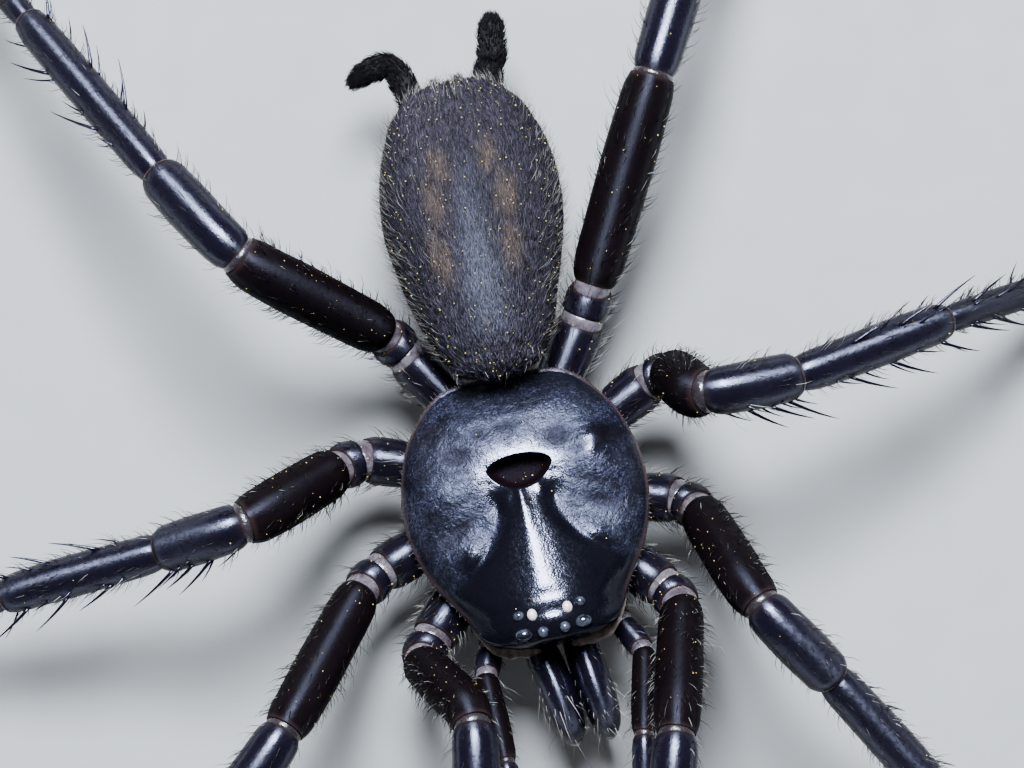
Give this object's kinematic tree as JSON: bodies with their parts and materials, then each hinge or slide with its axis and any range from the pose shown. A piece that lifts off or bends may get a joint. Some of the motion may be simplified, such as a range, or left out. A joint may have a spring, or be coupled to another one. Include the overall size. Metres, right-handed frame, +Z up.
{
  "type": "funnel-web spider",
  "caption": "Life-size model of a large glossy black burrowing spider with a velvety abdomen and long spinnerets, standing on all its legs",
  "frame": {"origin": "the middle of the spider's footprint, at the level its feet stand on", "axes": "+Z up; the head points to -Y and the tail to +Y; the spider's own left side is at +X"},
  "size_m": [0.0586, 0.072, 0.0131],
  "materials": {
    "shell": "glossy near-black, bluish in the light",
    "membrane": "pale grey-pink soft skin between the joints",
    "velvet": "velvety brown-black",
    "hair": "dark and pale brown bristles",
    "fang": "glossy dark red-brown",
    "eye": "wet, clear grey",
    "speck": "tiny golden grains"
  },
  "bodies": {
    "root": {"abdomen": "velvet", "carapace": "shell", "chelicera_l": "shell", "chelicera_r": "shell", "eye_ale_l": "eye", "eye_ale_r": "eye", "eye_ame_l": "eye", "eye_ame_r": "eye", "eye_ple_l": "eye", "eye_ple_r": "eye", "eye_pme_l": "eye", "eye_pme_r": "eye", "fang_l": "fang", "fang_r": "fang", "leg_l1_coxa": "shell", "leg_l1_femur": "shell", "leg_l1_foot": "shell", "leg_l1_tibia": "shell", "leg_l2_coxa": "shell", "leg_l2_femur": "shell", "leg_l2_foot": "shell", "leg_l2_tibia": "shell", "leg_l3_coxa": "shell", "leg_l3_femur": "shell", "leg_l3_foot": "shell", "leg_l3_tibia": "shell", "leg_l4_coxa": "shell", "leg_l4_femur": "shell", "leg_l4_foot": "shell", "leg_l4_tibia": "shell", "leg_r1_coxa": "shell", "leg_r1_femur": "shell", "leg_r1_foot": "shell", "leg_r1_tibia": "shell", "leg_r2_coxa": "shell", "leg_r2_femur": "shell", "leg_r2_foot": "shell", "leg_r2_tibia": "shell", "leg_r3_coxa": "shell", "leg_r3_femur": "shell", "leg_r3_foot": "shell", "leg_r3_tibia": "shell", "leg_r4_coxa": "shell", "leg_r4_femur": "shell", "leg_r4_foot": "shell", "leg_r4_tibia": "shell", "palp_l_coxa": "shell", "palp_l_end": "shell", "palp_l_femur": "shell", "palp_r_coxa": "shell", "palp_r_end": "shell", "palp_r_femur": "shell", "pedicel": "velvet", "spinneret_l": "velvet", "spinneret_median_l": "velvet", "spinneret_median_r": "velvet", "spinneret_r": "velvet", "sternum": "shell"}
  },
  "joints": []
}
